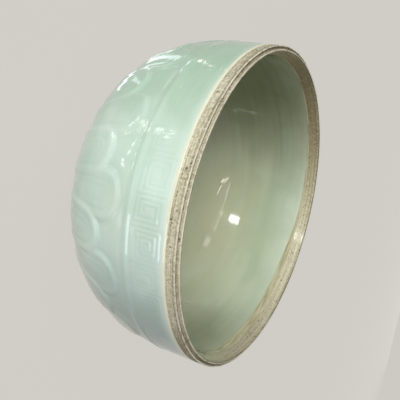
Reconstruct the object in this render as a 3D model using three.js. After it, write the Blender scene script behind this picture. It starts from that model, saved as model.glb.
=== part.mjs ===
// Open half of a covered vessel in pale green-glazed porcelain: a deep round bowl form with a bare
// stepped lip that its other half closes on, moulded petals round the shoulder, and a low foot ring.
// Millimetres, +Z up out of the mouth, origin at the middle of the circle that the foot stands on.
// The clay and the three coats of glaze on it are separate solids, a thin clearance apart.
import * as THREE from "three";

// Outer wall, measured on the glazed surface
const LIP_RADIUS = 62.5;
const LIP_HEIGHT = 72;
const WALL_END_HEIGHT = 1.4;
const WALL_SWELL = 2.4;
const WALL_SQUARENESS = 10 / 3;

// Cavity, measured on the glazed surface
const FLOOR_THICKNESS = 5.5;
const CAVITY_SWELL = 2.4;

// Bare lip, from the outside in
const BARE_BAND = 3.5;
const RIDGE_WIDTH = 0.55;
const RIDGE_BEVEL = 0.2;
const GROOVE_WIDTH = 0.85;
const GROOVE_DEPTH = 0.35;
const LAND_WIDTH = 0.7;
const LAND_RISE = 0.8;
const LAND_INNER_SIDE = 0.7;
const INNER_BEVEL_RUN = 1.5;
const INNER_BEVEL_DROP = 4.6;

// Foot ring
const FOOT_RADIUS = 27.5;
const FOOT_TAPER = 1;
const FOOT_WALL = 4.5;
const FOOT_FILLET = 2.5;
const BARE_FOOT = 1.5;
const RECESS_DEPTH = 4;

// Glaze
const GLAZE = 0.6;
const COAT_GAP = 0.3;

// Moulded relief, with distances along the wall from the lip and angles from +X
const BEAD_ALONG = 18.6;
const BEAD_HALF_WIDTH = 1.6;
const BEAD_RISE = 0.5;
const PETALS = 14;
const PETAL_TURN = THREE.MathUtils.degToRad(6.4);
const PETAL_TIP_ALONG = 29.5;
const PETAL_TIP_LENGTH = 9;
const PETAL_RISE = 0.8;
const PETAL_HALF_ANGLE = THREE.MathUtils.degToRad(8.4);
const PETAL_FOOT_HALF_ANGLE = THREE.MathUtils.degToRad(11.8);
const BACK_TIP_ALONG = 22.4;
const BACK_TIP_LENGTH = 7;
const BACK_RISE = 0.4;
const BACK_HALF_ANGLE = THREE.MathUtils.degToRad(8);
const PETAL_EDGE_SOFTNESS = 0.3;

// Fineness of the turned surfaces
const SEGMENTS_PER_PETAL = 8;
const PLAIN_SEGMENTS = 56;
const CURVE_SAMPLES = 400;
const WALL_ROWS = 7;
const CAVITY_ROWS = 10;
const CORNER_ROWS = 2;
const BAND_ROWS = 2;
const BEAD_ROWS = 2;
const TIP_ROWS = 3;
const PETAL_ROWS = 5;

const CLAY = { color: 0xaf9f82, roughness: 0.85, metalness: 0 };
const OUTER_COAT = { color: 0xc3d9cb, roughness: 0.15, metalness: 0 };
const INNER_COAT = { color: 0xa9b89a, roughness: 0.12, metalness: 0 };

// Evenly spaced values from start up to, but not including, end.
function evenly(start, end, count) {
  return Array.from({ length: count }, (_, i) => start + ((end - start) * i) / count);
}

// Half of a rounded-square outline, turned about Z: it falls from its upper edge to the pole.
class TurnedWall {
  constructor({ radius, swell, top, depth }) {
    const points = [];
    for (let i = 0; i <= CURVE_SAMPLES; i++) {
      const angle = (i / CURVE_SAMPLES) * (Math.PI / 2);
      const fall = Math.sin(angle) ** (2 / WALL_SQUARENESS);
      const reach = i === CURVE_SAMPLES ? 0 : (radius + swell * fall) * Math.cos(angle);
      points.push(new THREE.Vector2(reach, top - depth * fall));
    }
    this.points = points;
    this.lengths = [0];
    for (let i = 1; i < points.length; i++) {
      this.lengths.push(this.lengths[i - 1] + points[i].distanceTo(points[i - 1]));
    }
  }

  get length() {
    return this.lengths.at(-1);
  }

  // Point at a distance along the wall from its upper edge.
  at(along) {
    const last = this.points.length - 1;
    const next = Math.min(Math.max(this.lengths.findIndex((l) => l >= along), 1), last);
    const share = (along - this.lengths[next - 1]) / (this.lengths[next] - this.lengths[next - 1]);
    return this.points[next - 1].clone().lerp(this.points[next], share);
  }

  // Distance along the wall at which it has come in to a radius, on its way to the pole.
  alongAtRadius(radius) {
    let i = this.points.length - 1;
    while (this.points[i - 1].x < radius) i--;
    const share = (this.points[i - 1].x - radius) / (this.points[i - 1].x - this.points[i].x);
    return THREE.MathUtils.lerp(this.lengths[i - 1], this.lengths[i], share);
  }
}

// Stops of a path, each a point with its normal out of the clay. side is 1 where the clay lies to
// the right of the way the path runs, and -1 where it lies to the left.
function pathOf(points, side) {
  return points.map((point, i) => {
    const before = points[Math.max(i - 1, 0)];
    const after = points[Math.min(i + 1, points.length - 1)];
    const tangent = after.clone().sub(before).normalize();
    const normal = new THREE.Vector2(-tangent.y * side, tangent.x * side);
    if (point.x === 0) normal.set(0, Math.sign(normal.y));
    return { point, normal };
  });
}

// The points of a path sunk by a depth below its surface.
function sunk(path, depth) {
  return path.map(({ point, normal }) => point.clone().addScaledVector(normal, -depth));
}

// Rounded corner between two straight or nearly straight runs.
function roundedCorner(start, corner, end) {
  return new THREE.QuadraticBezierCurve(start, corner, end).getPoints(CORNER_ROWS);
}

const outerWall = new TurnedWall({
  radius: LIP_RADIUS,
  swell: WALL_SWELL,
  top: LIP_HEIGHT,
  depth: LIP_HEIGHT - WALL_END_HEIGHT,
});
const landHeight = LIP_HEIGHT + LAND_RISE;
const landInnerRadius = LIP_RADIUS - RIDGE_WIDTH - GROOVE_WIDTH - LAND_WIDTH;
const cavityTop = landHeight - INNER_BEVEL_DROP;
const cavityRadius = landInnerRadius - INNER_BEVEL_RUN;
const cavityWall = new TurnedWall({
  radius: cavityRadius,
  swell: CAVITY_SWELL,
  top: cavityTop,
  depth: cavityTop - FLOOR_THICKNESS - RECESS_DEPTH,
});

const wallEndAlong = outerWall.alongAtRadius(FOOT_RADIUS + FOOT_FILLET);
const footOuterRadius = FOOT_RADIUS - FOOT_TAPER;
const footInnerRadius = footOuterRadius - FOOT_WALL;

// Outer surface from the edge of the glaze, down the wall and over the fillet, to the bare foot.
// clear holds both ends back from the ledges of the clay.
function outerPath(stops, clear) {
  const wall = [stops[0] + clear, ...stops.slice(1)].map((along) => outerWall.at(along));
  const wallEnd = outerWall.at(wallEndAlong);
  const corner = outerWall.at(outerWall.alongAtRadius(FOOT_RADIUS));
  const footTop = new THREE.Vector2(FOOT_RADIUS, corner.y - FOOT_FILLET / 2);
  const coatEnd = new THREE.Vector2(footOuterRadius, BARE_FOOT + clear);
  return pathOf([...wall, ...roundedCorner(wallEnd, corner, footTop), coatEnd], 1);
}

// Inner surface from the foot of the bevel to the middle of the floor.
function cavityPath(clear) {
  const stops = [...evenly(clear, cavityWall.length, CAVITY_ROWS), cavityWall.length];
  return pathOf(stops.map((along) => cavityWall.at(along)), -1);
}

// Underside inside the foot ring, from its middle to the bare foot.
function recessPath(clear) {
  const corner = new THREE.Vector2(footInnerRadius, RECESS_DEPTH);
  const roof = new THREE.Vector2(footInnerRadius - FOOT_FILLET / 2, RECESS_DEPTH);
  const side = new THREE.Vector2(footInnerRadius, RECESS_DEPTH - FOOT_FILLET / 2);
  const end = new THREE.Vector2(footInnerRadius, BARE_FOOT + clear);
  const middle = new THREE.Vector2(0, RECESS_DEPTH);
  return pathOf([middle, ...roundedCorner(roof, corner, side), end], -1);
}

// Stops along the plain wall, shared by the clay and the back of the coat.
const plainStops = evenly(BARE_BAND, wallEndAlong, WALL_ROWS);

// Stops for the face of the coat: closer where the bead and the petals are.
const beadStart = BEAD_ALONG - BEAD_HALF_WIDTH;
const beadEnd = BEAD_ALONG + BEAD_HALF_WIDTH;
const archEnd = PETAL_TIP_ALONG + PETAL_TIP_LENGTH;
const faceStops = [
  ...evenly(BARE_BAND, beadStart, BAND_ROWS),
  ...evenly(beadStart, beadEnd, BEAD_ROWS),
  ...evenly(beadEnd, PETAL_TIP_ALONG, TIP_ROWS),
  ...evenly(PETAL_TIP_ALONG, archEnd, TIP_ROWS),
  ...evenly(archEnd, wallEndAlong, PETAL_ROWS),
];

// Share of full height, 0 to 1, of a petal whose arched tip starts at tipAlong.
function petalShare(across, along, { tipAlong, tipLength, halfAngle }) {
  const arch = Math.max(1 - (along - tipAlong) / tipLength, 0);
  const distance = Math.hypot(across / halfAngle, arch);
  return 1 - THREE.MathUtils.smoothstep(distance, 1 - PETAL_EDGE_SOFTNESS, 1 + PETAL_EDGE_SOFTNESS);
}

// Angle from the middle of the nearest petal of a row that starts at an angle.
function acrossPetal(angle, start) {
  const pitch = (2 * Math.PI) / PETALS;
  return THREE.MathUtils.euclideanModulo(angle - start + pitch / 2, pitch) - pitch / 2;
}

// Height of the relief above the plain wall: a turned bead, a front row of petals that widen
// towards the foot, and the tips of a back row between them.
function relief(angle, along) {
  const bead = BEAD_RISE * Math.max(1 - Math.abs(along - BEAD_ALONG) / BEAD_HALF_WIDTH, 0);
  const widening = THREE.MathUtils.smoothstep(along, PETAL_TIP_ALONG, wallEndAlong);
  const front = petalShare(acrossPetal(angle, PETAL_TURN), along, {
    tipAlong: PETAL_TIP_ALONG,
    tipLength: PETAL_TIP_LENGTH,
    halfAngle: THREE.MathUtils.lerp(PETAL_HALF_ANGLE, PETAL_FOOT_HALF_ANGLE, widening),
  });
  const back = petalShare(acrossPetal(angle, PETAL_TURN + Math.PI / PETALS), along, {
    tipAlong: BACK_TIP_ALONG,
    tipLength: BACK_TIP_LENGTH,
    halfAngle: BACK_HALF_ANGLE,
  });
  const fade = 1 - THREE.MathUtils.smoothstep(along, wallEndAlong - PETAL_TIP_LENGTH, wallEndAlong);
  return bead + fade * Math.max(PETAL_RISE * front, BACK_RISE * back);
}

// A profile turned about Z, with the mouth up.
function turned(profile, segments) {
  return new THREE.LatheGeometry(profile, segments).rotateX(Math.PI / 2);
}

function namedMesh(name, geometry, finish) {
  const mesh = new THREE.Mesh(geometry, new THREE.MeshStandardMaterial(finish));
  mesh.name = name;
  return mesh;
}

// Bare lip, from the ledge under the band to the ledge under the inner bevel.
function lipProfile() {
  const ridgeInner = LIP_RADIUS - RIDGE_WIDTH;
  const grooveInner = ridgeInner - GROOVE_WIDTH;
  const grooveFloor = LIP_HEIGHT - GROOVE_DEPTH;
  return [
    new THREE.Vector2(LIP_RADIUS, LIP_HEIGHT - BARE_BAND),
    new THREE.Vector2(LIP_RADIUS, LIP_HEIGHT - RIDGE_BEVEL),
    new THREE.Vector2(LIP_RADIUS - RIDGE_BEVEL, LIP_HEIGHT),
    new THREE.Vector2(ridgeInner, LIP_HEIGHT),
    new THREE.Vector2(ridgeInner, grooveFloor),
    new THREE.Vector2(grooveInner, grooveFloor),
    new THREE.Vector2(grooveInner, landHeight),
    new THREE.Vector2(landInnerRadius, landHeight),
    new THREE.Vector2(landInnerRadius, landHeight - LAND_INNER_SIDE),
    new THREE.Vector2(cavityRadius, cavityTop),
  ];
}

// The fired clay: foot ring, wall and lip in one piece, sunk below the coats where it is glazed.
function porcelainBody() {
  const sink = GLAZE + COAT_GAP;
  const foot = [
    new THREE.Vector2(footInnerRadius, BARE_FOOT),
    new THREE.Vector2(footInnerRadius, 0),
    new THREE.Vector2(footOuterRadius, 0),
    new THREE.Vector2(footOuterRadius, BARE_FOOT),
  ];
  const profile = [
    ...sunk(recessPath(0), sink),
    ...foot,
    ...sunk(outerPath(plainStops, 0), sink).reverse(),
    ...lipProfile(),
    ...sunk(cavityPath(0), sink),
  ];
  return namedMesh("porcelain_body", turned(profile, PLAIN_SEGMENTS), CLAY);
}

// Raises the stops of a turned loop that have an along by the relief there.
function raiseRelief(geometry, loop) {
  const position = geometry.getAttribute("position");
  for (let i = 0; i < position.count; i++) {
    const { normal, along } = loop[i % loop.length];
    if (along === undefined) continue;
    const angle = Math.atan2(position.getY(i), position.getX(i));
    const rise = relief(angle, along);
    const reach = Math.hypot(position.getX(i), position.getY(i)) + normal.x * rise;
    const height = position.getZ(i) + normal.y * rise;
    position.setXYZ(i, reach * Math.cos(angle), reach * Math.sin(angle), height);
  }
  geometry.computeVertexNormals();
}

// The coat on the outside, from the bare band to the bare foot, with the relief on its face.
function outerGlaze() {
  const face = outerPath(faceStops, COAT_GAP)
    .map((stop, i) => ({ ...stop, along: faceStops[i] }))
    .reverse();
  const back = sunk(outerPath(plainStops, COAT_GAP), GLAZE).map((point) => ({ point }));
  const loop = [...back, ...face, back[0]];
  const profile = loop.map((stop) => stop.point);
  const geometry = turned(profile, PETALS * SEGMENTS_PER_PETAL);
  raiseRelief(geometry, loop);
  return namedMesh("outer_glaze", geometry, OUTER_COAT);
}

// The coat on the inside, from the foot of the bevel to the middle of the floor.
function innerGlaze() {
  const path = cavityPath(COAT_GAP);
  const profile = [...sunk(path, GLAZE).reverse(), ...path.map((stop) => stop.point)];
  return namedMesh("inner_glaze", turned(profile, PLAIN_SEGMENTS), INNER_COAT);
}

// The coat on the underside, inside the foot ring.
function footGlaze() {
  const path = recessPath(COAT_GAP);
  const profile = [...path.map((stop) => stop.point), ...sunk(path, GLAZE).reverse()];
  return namedMesh("foot_glaze", turned(profile, PLAIN_SEGMENTS), OUTER_COAT);
}

const vessel = new THREE.Group();
vessel.add(porcelainBody(), outerGlaze(), innerGlaze(), footGlaze());

export default vessel;
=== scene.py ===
"""Looks of the open half of a covered celadon vessel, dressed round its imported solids.

Lengths of the pieces are written in millimetres, as on a drawing, and become metres when a mesh is
made. The axis is Z, the mouth is up, and "along" is the distance down the wall from the lip.
"""

import logging
import math
from collections.abc import Callable
from dataclasses import dataclass, field
from enum import Enum

import bpy
import numpy as np
from mathutils import Euler, Matrix, Vector


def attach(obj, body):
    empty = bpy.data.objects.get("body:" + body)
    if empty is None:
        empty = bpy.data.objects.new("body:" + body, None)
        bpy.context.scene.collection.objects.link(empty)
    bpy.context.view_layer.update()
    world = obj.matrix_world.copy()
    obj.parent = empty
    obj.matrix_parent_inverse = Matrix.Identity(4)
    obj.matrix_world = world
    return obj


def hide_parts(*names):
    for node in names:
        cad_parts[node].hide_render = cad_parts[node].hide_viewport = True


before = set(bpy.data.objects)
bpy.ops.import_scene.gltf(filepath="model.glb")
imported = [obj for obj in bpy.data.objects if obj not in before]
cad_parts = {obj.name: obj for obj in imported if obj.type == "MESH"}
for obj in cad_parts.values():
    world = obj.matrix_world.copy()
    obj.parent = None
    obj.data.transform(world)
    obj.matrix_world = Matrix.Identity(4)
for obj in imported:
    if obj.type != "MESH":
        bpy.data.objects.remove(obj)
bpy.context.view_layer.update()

LOG = logging.getLogger("vessel")
# A millimetre in metres, and a metre in millimetres
MM = 0.001
TO_MM = 1000.0
TURN = 2 * math.pi
# Every random draw starts from this number
SEED = 11
# The most that a rounded corner takes of a run
CORNER_SHARE = 0.45
# A radius below this is on the axis
ON_AXIS = 1e-6
# The least length that anything is divided by
TINY = 1e-9

Colour = tuple[float, float, float]
Rise = Callable[[np.ndarray, np.ndarray], np.ndarray]


class Slot(Enum):
    """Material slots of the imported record."""

    CLAY = "clay"
    OUTER_GLAZE = "outer_glaze"
    INNER_GLAZE = "inner_glaze"
    FOOT_GLAZE = "foot_glaze"


def smooth(low: float, high: float, value: np.ndarray) -> np.ndarray:
    """Smooth step of value from 0 at low to 1 at high."""
    share = np.clip((value - low) / (high - low), 0, 1)
    return share * share * (3 - 2 * share)


def bump_at(distance: np.ndarray, width: float) -> np.ndarray:
    """Bell of height 1 where distance is 0, which is width wide on each side."""
    return np.exp(-((distance / width) ** 2))


def evenly(start: float, end: float, pitch: float) -> np.ndarray:
    """Values from start up to, but not including, end, about a pitch apart."""
    count = max(round((end - start) / pitch), 1)
    return start + (end - start) * np.arange(count) / count


def lengths_along(points: np.ndarray) -> np.ndarray:
    """How far along a path each of its points is."""
    return np.concatenate([[0], np.cumsum(np.hypot(*np.diff(points, axis=0).T))])


# The outline of the wall


@dataclass(frozen=True)
class TurnedWall:
    """Half of a rounded-square outline, turned about Z, from its upper edge to the pole.

    Args:
        radius: radius of the upper edge.
        swell: how far the outline stands out before it turns in.
        top: height of the upper edge.
        depth: fall from the upper edge to the pole.
        squareness: how square the turn is.
        steps: steps along the outline.
    """

    radius: float
    swell: float
    top: float
    depth: float
    squareness: float = 10 / 3
    steps: int = 4000

    def curve(self) -> tuple[np.ndarray, np.ndarray]:
        """Draws the outline with fine steps.

        Returns:
            The outline's points, and how far along it each one is.
        """
        angle = np.linspace(0, math.pi / 2, self.steps + 1)
        fall = np.sin(angle) ** (2 / self.squareness)
        reach = (self.radius + self.swell * fall) * np.cos(angle)
        reach[-1] = 0
        points = np.stack([reach, self.top - self.depth * fall], 1)
        return points, lengths_along(points)

    def at(self, along: np.ndarray) -> np.ndarray:
        """Points at distances along the outline."""
        points, lengths = self.curve()
        return np.stack([np.interp(along, lengths, points[:, i]) for i in (0, 1)], 1)

    def along_at_radius(self, radius: float) -> float:
        """Distance along at which the outline has come in to a radius, on its way to the pole.

        Args:
            radius: the radius in question.

        Returns:
            The distance.
        """
        points, lengths = self.curve()
        first = int(np.argmax(points[:, 0]))
        return float(np.interp(-radius, -points[first:, 0], lengths[first:]))

    def length(self) -> float:
        """Length of the whole outline."""
        return float(self.curve()[1][-1])


@dataclass
class Outline:
    """Stops of a path in the plane of the axis.

    Args:
        points: radius and height of each stop.
        normals: direction out of the clay at each stop.
        along: distance along the wall of each stop, for the relief, or nan where it has none.
    """

    points: np.ndarray
    normals: np.ndarray
    along: np.ndarray

    @classmethod
    def of(cls, points: np.ndarray, side: int, along: np.ndarray | None = None) -> "Outline":
        """Makes an outline with its normals.

        Args:
            points: radius and height of each stop.
            side: 1 where the clay lies to the right of the way the path runs, and -1 otherwise.
            along: distance along the wall of each stop, if it carries relief.

        Returns:
            The outline.
        """
        before = np.concatenate([points[:1], points[:-1]])
        after = np.concatenate([points[1:], points[-1:]])
        tangent = after - before
        tangent /= np.maximum(np.hypot(*tangent.T), TINY)[:, None]
        normals = np.stack([-tangent[:, 1] * side, tangent[:, 0] * side], 1)
        on_axis = points[:, 0] == 0
        normals[on_axis] = np.stack([np.zeros(on_axis.sum()), np.sign(normals[on_axis, 1])], 1)
        if along is None:
            along = np.full(len(points), np.nan)
        return cls(points, normals, along)

    def sunk(self, depth: float | np.ndarray) -> "Outline":
        """The same path below its surface by a depth.

        Args:
            depth: the depth, the same for all stops or one for each.

        Returns:
            The path, which stays on its side of the axis.
        """
        depths = np.broadcast_to(depth, len(self.points))
        moved = self.points - self.normals * depths[:, None]
        moved[:, 0] = np.maximum(moved[:, 0], 0)
        return Outline(moved, self.normals, self.along)

    def reversed(self) -> "Outline":
        """The same path run the other way."""
        return Outline(self.points[::-1], self.normals[::-1], self.along[::-1])

    def plain(self) -> "Outline":
        """The same path without relief."""
        return Outline(self.points, self.normals, np.full(len(self.points), np.nan))

    def __add__(self, other: "Outline") -> "Outline":
        """Both paths, one after the other.

        Args:
            other: the path that follows.

        Returns:
            The joined path.
        """
        return Outline(
            np.concatenate([self.points, other.points]),
            np.concatenate([self.normals, other.normals]),
            np.concatenate([self.along, other.along]),
        )


def arc(start: np.ndarray, corner: np.ndarray, end: np.ndarray, rows: int) -> np.ndarray:
    """Points of a soft corner between two runs, from start to end."""
    t = np.linspace(0, 1, rows + 1)[:, None]
    return (1 - t) ** 2 * start + 2 * t * (1 - t) * corner + t * t * end


def softened(points: list[tuple[float, float]], radius: float, rows: int = 3) -> np.ndarray:
    """An outline of straight runs whose inner corners are rounded.

    Args:
        points: radius and height of each corner.
        radius: how much of each run a rounded corner takes, at most.
        rows: steps in each rounded corner.

    Returns:
        The stops of the rounded outline.
    """
    corners = np.array(points, float)
    out = [corners[:1]]
    for before, here, after in zip(corners[:-2], corners[1:-1], corners[2:]):
        back, ahead = before - here, after - here
        cut = min(radius, np.hypot(*back) * CORNER_SHARE, np.hypot(*ahead) * CORNER_SHARE)
        start = here + back / np.hypot(*back) * cut
        end = here + ahead / np.hypot(*ahead) * cut
        out.append(arc(start, here, end, rows))
    return np.concatenate([*out, corners[-1:]])


def refined(points: np.ndarray, pitch: float) -> np.ndarray:
    """The same path with stops no further apart than a pitch.

    Args:
        points: radius and height of each stop.
        pitch: the longest step.

    Returns:
        The stops of the finer path.
    """
    out = []
    for start, end in zip(points[:-1], points[1:]):
        count = max(math.ceil(np.hypot(*(end - start)) / pitch), 1)
        out.append(start + (end - start) * np.arange(count)[:, None] / count)
    return np.concatenate([*out, points[-1:]])


# Turned meshes


@dataclass
class TurnedMesh:
    """A closed body of revolution, with relief on the stops that carry it.

    Args:
        name: name of the piece.
        outline: its outline, a ring, or a path from the axis to the axis.
        columns: facets round the axis.
        ring: True where the outline closes on itself.
        rise: height of the relief at angles and distances along, or None.
        carved: the part of it that is lines, which the glaze pools in or runs off, or None.
    """

    name: str
    outline: Outline
    columns: int
    ring: bool
    rise: Rise | None = None
    carved: Rise | None = None

    def heights(self, rise: Rise | None, angles: np.ndarray) -> np.ndarray:
        """Height of a relief at each stop and column.

        Args:
            rise: the relief, or None.
            angles: angle of each column.

        Returns:
            The heights, a row for each stop, with 0 where a stop carries no relief.
        """
        rows = len(self.outline.points)
        out = np.zeros((rows, self.columns))
        raised = ~np.isnan(self.outline.along)
        if rise is not None and raised.any():
            along = self.outline.along[raised][:, None]
            out[raised] = rise(angles[None, :], along)
        return out

    def build(self) -> bpy.types.Object:
        """Makes the mesh and its object.

        Returns:
            The object, whose mesh holds the height of the carved lines as its attribute "carved".
        """
        angles = TURN * np.arange(self.columns) / self.columns
        heights = self.heights(self.rise, angles)
        lines = self.heights(self.carved, angles)
        points, normals = self.outline.points, self.outline.normals
        reach = points[:, :1] + normals[:, :1] * heights
        level = points[:, 1:] + normals[:, 1:] * heights
        places = np.stack([reach * np.cos(angles), reach * np.sin(angles), level], -1)

        pole = points[:, 0] < ON_AXIS
        sizes = np.where(pole, 1, self.columns)
        firsts = np.concatenate([[0], np.cumsum(sizes)[:-1]])
        vertices = np.concatenate([places[i, :n] for i, n in enumerate(sizes)])
        carved = np.concatenate([lines[i, :n] for i, n in enumerate(sizes)])

        column = np.arange(self.columns)
        onward = (column + 1) % self.columns
        faces: list[list[int]] = []
        rows = len(points)
        for i in range(rows if self.ring else rows - 1):
            j = (i + 1) % rows
            here, there = firsts[i], firsts[j]
            if pole[i]:
                corners = [np.full_like(column, here), there + column, there + onward]
            elif pole[j]:
                corners = [here + column, np.full_like(column, there), here + onward]
            else:
                corners = [here + column, there + column, there + onward, here + onward]
            faces.extend(np.stack(corners, 1).tolist())

        mesh = bpy.data.meshes.new(self.name)
        mesh.from_pydata((vertices * MM).tolist(), [], faces)
        if self.signed_area() < 0:
            mesh.flip_normals()
        mesh.shade_smooth()
        held = mesh.attributes.new("carved", "FLOAT", "POINT")
        held.data.foreach_set("value", carved.astype(np.float32))
        made = bpy.data.objects.new(self.name, mesh)
        bpy.context.scene.collection.objects.link(made)
        return made

    def signed_area(self) -> float:
        """Signed area of the outline, which is positive where the faces point out.

        Returns:
            The area.
        """
        x, z = self.outline.points.T
        ahead_x, ahead_z = np.roll(x, -1), np.roll(z, -1)
        return float(np.sum(x * ahead_z - ahead_x * z))


# Relief on the outer wall


@dataclass
class Wander:
    """Small, smooth unevenness round the wall, as a worn mould leaves.

    Args:
        turns: how many waves go round, for each wave.
        size: height of the waves together.
        seed: sets their phases.
        slant: how much a wave may shift for each millimetre down the wall, in radians.
    """

    turns: tuple[int, ...]
    size: float
    seed: int
    slant: float = 0.12

    def at(self, angle: np.ndarray, along: np.ndarray) -> np.ndarray:
        """Height of the waves at angles and distances along.

        Args:
            angle: angles round the axis.
            along: distances down the wall.

        Returns:
            The heights.
        """
        draw = np.random.default_rng(self.seed)
        total = np.zeros(np.broadcast(angle, along).shape)
        for turns in self.turns:
            phase, slant = draw.uniform(0, TURN), draw.uniform(-self.slant, self.slant)
            total = total + np.sin(turns * angle + slant * along + phase)
        return self.size * total / math.sqrt(len(self.turns))


@dataclass
class FretBand:
    """Band of squared thunder-pattern spirals, cut shallow and softened by the glaze.

    Args:
        units: units of the pattern round the wall, each a wide spiral and a narrow one.
        turn: angle of the middle of one of them.
        top: distance along of the upper line.
        wall_radius: radius of the wall there.
        depth: depth of the lines.
        half_width: half the width of a line.
        pitch: distance from one line of a spiral to the next.
        height: distance from the upper line to the lower one.
        wide_half: half the width of the wide spiral, in pitches.
        wide_laps: times that the wide spiral goes round.
        narrow_laps: times that the narrow spiral goes round.
        wear: how deep the lines are left on average, as a share.
        wear_limits: the least and the most of that share.
        fade: how it changes along the band.
    """

    units: int = 18
    turn: float = math.radians(7.14)
    top: float = 5.4
    wall_radius: float = 62.6
    depth: float = 0.1
    half_width: float = 0.45
    pitch: float = 1.6
    height: float = 10.8
    wide_half: float = 3.25
    wide_laps: int = 3
    narrow_laps: int = 2
    wear: float = 0.62
    wear_limits: tuple[float, float] = (0.08, 1.1)
    fade: Wander = field(default_factory=lambda: Wander((5, 9, 17), 0.34, SEED + 172))

    def spiral(self, start: float, end: float, laps: int) -> list[tuple[float, float]]:
        """Corners of one squared spiral, which runs inwards from the bottom at start.

        Args:
            start: where it starts, across the unit.
            end: its other side.
            laps: times that it goes round.

        Returns:
            The corners, each across and along.
        """
        p, h = self.pitch, self.height
        corners = [(start, h), (start, 0.0), (end, 0.0)]
        for lap in range(1, laps + 1):
            corners += [
                (end - (lap - 1) * p, h - lap * p),
                (start + lap * p, h - lap * p),
                (start + lap * p, lap * p),
                (end - lap * p, lap * p),
            ]
        return corners

    def lines(self) -> list[tuple[float, float, float, float]]:
        """Runs of one unit, which is a wide spiral and an inverted narrow one.

        Returns:
            The runs, each from (across, along) to (across, along).
        """
        p, w = self.pitch, self.wall_radius * TURN / self.units
        half = self.wide_half * p
        wide = self.spiral(-half, half, self.wide_laps)
        inverted = self.spiral(half + p, w - half - p, self.narrow_laps)
        narrow = [(x, self.height - y) for x, y in inverted]
        runs = []
        for path in (wide, narrow):
            runs += [(*a, *b) for a, b in zip(path[:-1], path[1:])]
        return runs

    def rise(self, angle: np.ndarray, along: np.ndarray) -> np.ndarray:
        """Height of the band, which lies below the wall.

        Args:
            angle: angles round the axis.
            along: distances down the wall.

        Returns:
            The heights, 0 or less.
        """
        unit = TURN / self.units
        local = np.mod(angle - self.turn + unit / 2, unit) - unit / 2
        across = local * self.wall_radius
        down = along - self.top
        width = unit * self.wall_radius
        nearest = np.full(np.broadcast(across, down).shape, np.inf)
        for x0, y0, x1, y1 in self.lines():
            dy = np.maximum(np.maximum(min(y0, y1) - down, down - max(y0, y1)), 0)
            for shift in (-width, 0.0, width):
                left, right = min(x0, x1) + shift, max(x0, x1) + shift
                dx = np.maximum(np.maximum(left - across, across - right), 0)
                nearest = np.minimum(nearest, np.hypot(dx, dy))
        worn = np.clip(self.wear + self.fade.at(angle, along * 2), *self.wear_limits)
        return -self.depth * worn * bump_at(nearest, self.half_width)


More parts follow.
